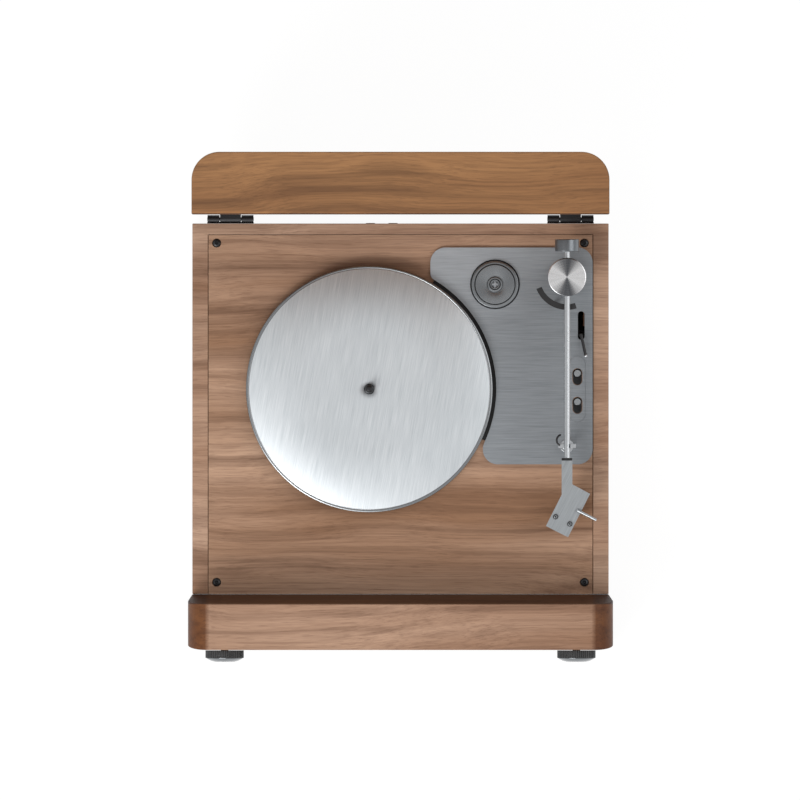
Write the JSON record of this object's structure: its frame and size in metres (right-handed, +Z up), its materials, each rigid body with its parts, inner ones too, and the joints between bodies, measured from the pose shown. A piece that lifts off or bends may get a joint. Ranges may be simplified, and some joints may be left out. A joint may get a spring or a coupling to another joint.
{
  "type": "record player",
  "caption": "Compact wooden record player with a platter, tonearm and brushed control plate, a raised front speaker box with knurled knobs, and a hinged wooden lid standing open.",
  "frame": {"origin": "under the middle of its bounding box, on the surface the feet stand on", "axes": "+Z up, +X to the player's right, +Y to its back, so the speaker box and knobs face -Y"},
  "size_m": [0.34, 0.4081, 0.3797],
  "materials": {
    "walnut": "satin, open grain",
    "cloth": "woven",
    "cone_paper": "matt",
    "bright_aluminium": "spun, concentric",
    "brushed_aluminium": "brushed",
    "bright_steel": "polished",
    "satin_steel": "satin",
    "brass": "satin",
    "rubber": "matt",
    "circuit_board": "satin",
    "black_metal": "satin",
    "black_plastic": "satin"
  },
  "bodies": {
    "cabinet": {"amplifier_board": "circuit_board", "arm_base": "satin_steel", "arm_rest": "satin_steel", "bottom_panel": "black_plastic", "cabinet_case": "walnut", "control_board": "circuit_board", "control_plate": "brushed_aluminium", "cue_bracket": "black_plastic", "deck_panel": "walnut", "deck_screw_1": "black_metal", "deck_screw_2": "black_metal", "deck_screw_3": "black_metal", "deck_screw_4": "black_metal", "drive_belt": "rubber", "drive_motor": "satin_steel", "hinge_left_case_leaf": "black_metal", "hinge_right_case_leaf": "black_metal", "line_sockets": "brass", "platter_bearing": "brass", "power_inlet": "black_plastic", "rear_panel": "black_plastic", "rubber_foot_1": "rubber", "rubber_foot_2": "rubber", "rubber_foot_3": "rubber", "rubber_foot_4": "rubber", "speaker_box": "walnut", "speaker_cone_left": "cone_paper", "speaker_cone_right": "cone_paper", "speaker_frame_left": "satin_steel", "speaker_frame_right": "satin_steel", "speaker_grille": "cloth", "speed_switch_body": "black_plastic", "stop_switch_body": "black_plastic", "switch_strip": "brushed_aluminium"},
    "turntable": {"platter": "bright_aluminium", "platter_spindle": "black_metal", "drive_drum": "black_plastic"},
    "pulley": {"motor_pulley": "brass"},
    "volume_control": {"volume_knob": "black_plastic", "volume_knob_cap": "bright_steel"},
    "source_control": {"source_knob": "black_plastic", "source_knob_cap": "bright_steel"},
    "adapter": {"single_adapter": "bright_aluminium"},
    "arm_turn": {"arm_yoke": "satin_steel", "arm_pivot_cap": "bright_aluminium"},
    "tonearm": {"arm_hub": "satin_steel", "arm_tube": "bright_steel", "headshell_collar": "rubber", "headshell": "brushed_aluminium", "finger_lift": "bright_steel", "cartridge": "black_plastic", "stylus": "brass"},
    "balance": {"counterweight": "brushed_aluminium"},
    "lift": {"lift_bar": "rubber"},
    "cue": {"cue_lever": "black_plastic"},
    "speed_slider": {"speed_switch_button": "brushed_aluminium"},
    "stop_slider": {"stop_switch_button": "brushed_aluminium"},
    "lid": {"lid_shell": "walnut", "hinge_left_lid_leaf": "black_metal", "hinge_right_lid_leaf": "black_metal"}
  },
  "joints": [
    {"name": "platter_spin", "type": "hinge", "parent": "cabinet", "child": "turntable", "pos_m": [-0.025, 0.0142, 0.08], "axis": [0, 0, 1], "continuous": true},
    {"name": "pulley_spin", "type": "hinge", "parent": "cabinet", "child": "pulley", "pos_m": [0.062, -0.0714, 0.055], "axis": [0, 0, 1], "continuous": true},
    {"name": "volume_turn", "type": "hinge", "parent": "cabinet", "child": "volume_control", "pos_m": [-0.1407, -0.196, 0.067], "axis": [0, 1, 0], "range_deg": [0, 300]},
    {"name": "source_turn", "type": "hinge", "parent": "cabinet", "child": "source_control", "pos_m": [0.1407, -0.196, 0.067], "axis": [0, 1, 0], "range_deg": [0, 90]},
    {"name": "adapter_lift", "type": "slide", "parent": "cabinet", "child": "adapter", "axis": [0, 0, 1], "range_m": [0, 0.03]},
    {"name": "arm_swing", "type": "hinge", "parent": "cabinet", "child": "arm_turn", "pos_m": [0.1332, 0.1038, 0.1025], "axis": [0, 0, 1], "range_deg": [-42, 0]},
    {"name": "arm_raise", "type": "hinge", "parent": "arm_turn", "child": "tonearm", "pos_m": [0.1332, 0.1038, 0.1025], "axis": [-1, 0, 0], "range_deg": [0, 2.2]},
    {"name": "balance_slide", "type": "slide", "parent": "tonearm", "child": "balance", "axis": [0, 1, 0], "range_m": [-0.003, 0.004]},
    {"name": "lift_rise", "type": "slide", "parent": "cabinet", "child": "lift", "axis": [0, 0, 1], "range_m": [0, 0.0009]},
    {"name": "cue_turn", "type": "hinge", "parent": "cabinet", "child": "cue", "pos_m": [0.1446, 0.0569, 0.062], "axis": [-1, 0, 0], "range_deg": [0, 45]},
    {"name": "speed_slide", "type": "slide", "parent": "cabinet", "child": "speed_slider", "axis": [0, -1, 0], "range_m": [0, 0.0056]},
    {"name": "stop_slide", "type": "slide", "parent": "cabinet", "child": "stop_slider", "axis": [0, -1, 0], "range_m": [0, 0.0056]},
    {"name": "lid_hinge", "type": "hinge", "parent": "cabinet", "child": "lid", "pos_m": [0, 0.1502, 0.0718], "axis": [1, 0, 0], "range_deg": [0, 90]}
  ],
  "couplings": [
    {"joint": "pulley_spin", "follows": "platter_spin", "ratio": 7.6},
    {"joint": "cue_turn", "follows": "lift_rise", "rad_per_m": 872},
    {"joint": "arm_raise", "follows": "lift_rise", "rad_per_m": 42.6}
  ]
}
